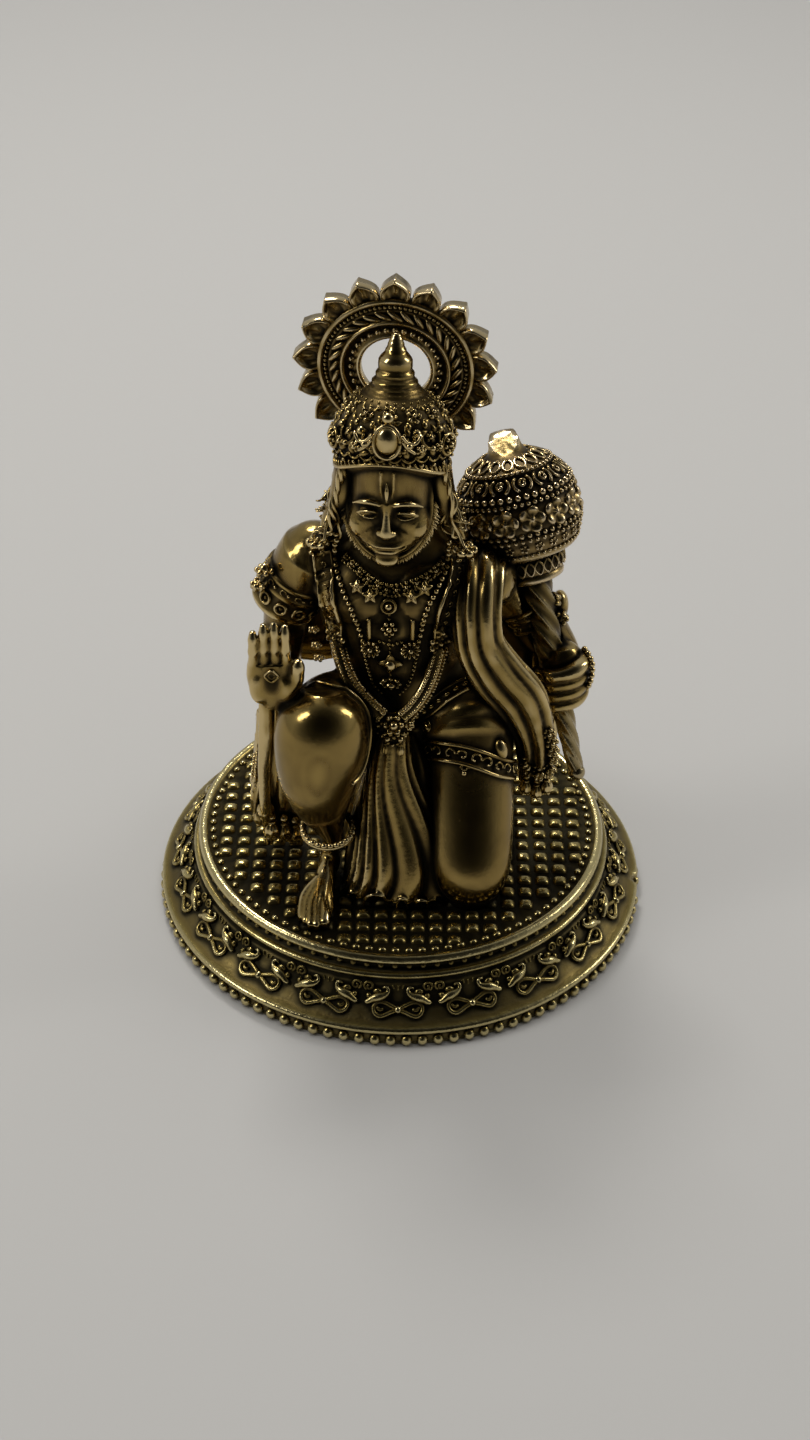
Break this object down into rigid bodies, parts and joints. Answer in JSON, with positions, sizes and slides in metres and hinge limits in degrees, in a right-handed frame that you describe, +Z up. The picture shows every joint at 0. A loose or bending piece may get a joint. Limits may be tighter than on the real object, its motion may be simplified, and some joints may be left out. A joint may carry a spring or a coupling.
{
  "type": "hanuman figure",
  "caption": "Kneeling Hanuman figure in antique cast brass, one hand raised and a mace on the shoulder, with a petalled halo, on a round studded plinth.",
  "frame": {"origin": "centre of the underside of the plinth, on the surface it stands on", "axes": "+Z up, the figure faces -Y, its right hand is on the -X side"},
  "size_m": [0.068, 0.068, 0.0891],
  "materials": {
    "plinth": "antique patina, dark in the recesses and rubbed bright on the studs and rims",
    "figure": "antique patina over polished skin, dark in the folds and jewellery",
    "halo": "antique patina, rubbed bright on the petal tips",
    "mace": "pale antique patina, dark between the rows, gate cut bright"
  },
  "bodies": {
    "root": {"plinth": "plinth", "figure": "figure", "halo": "halo", "mace": "mace"}
  },
  "joints": []
}
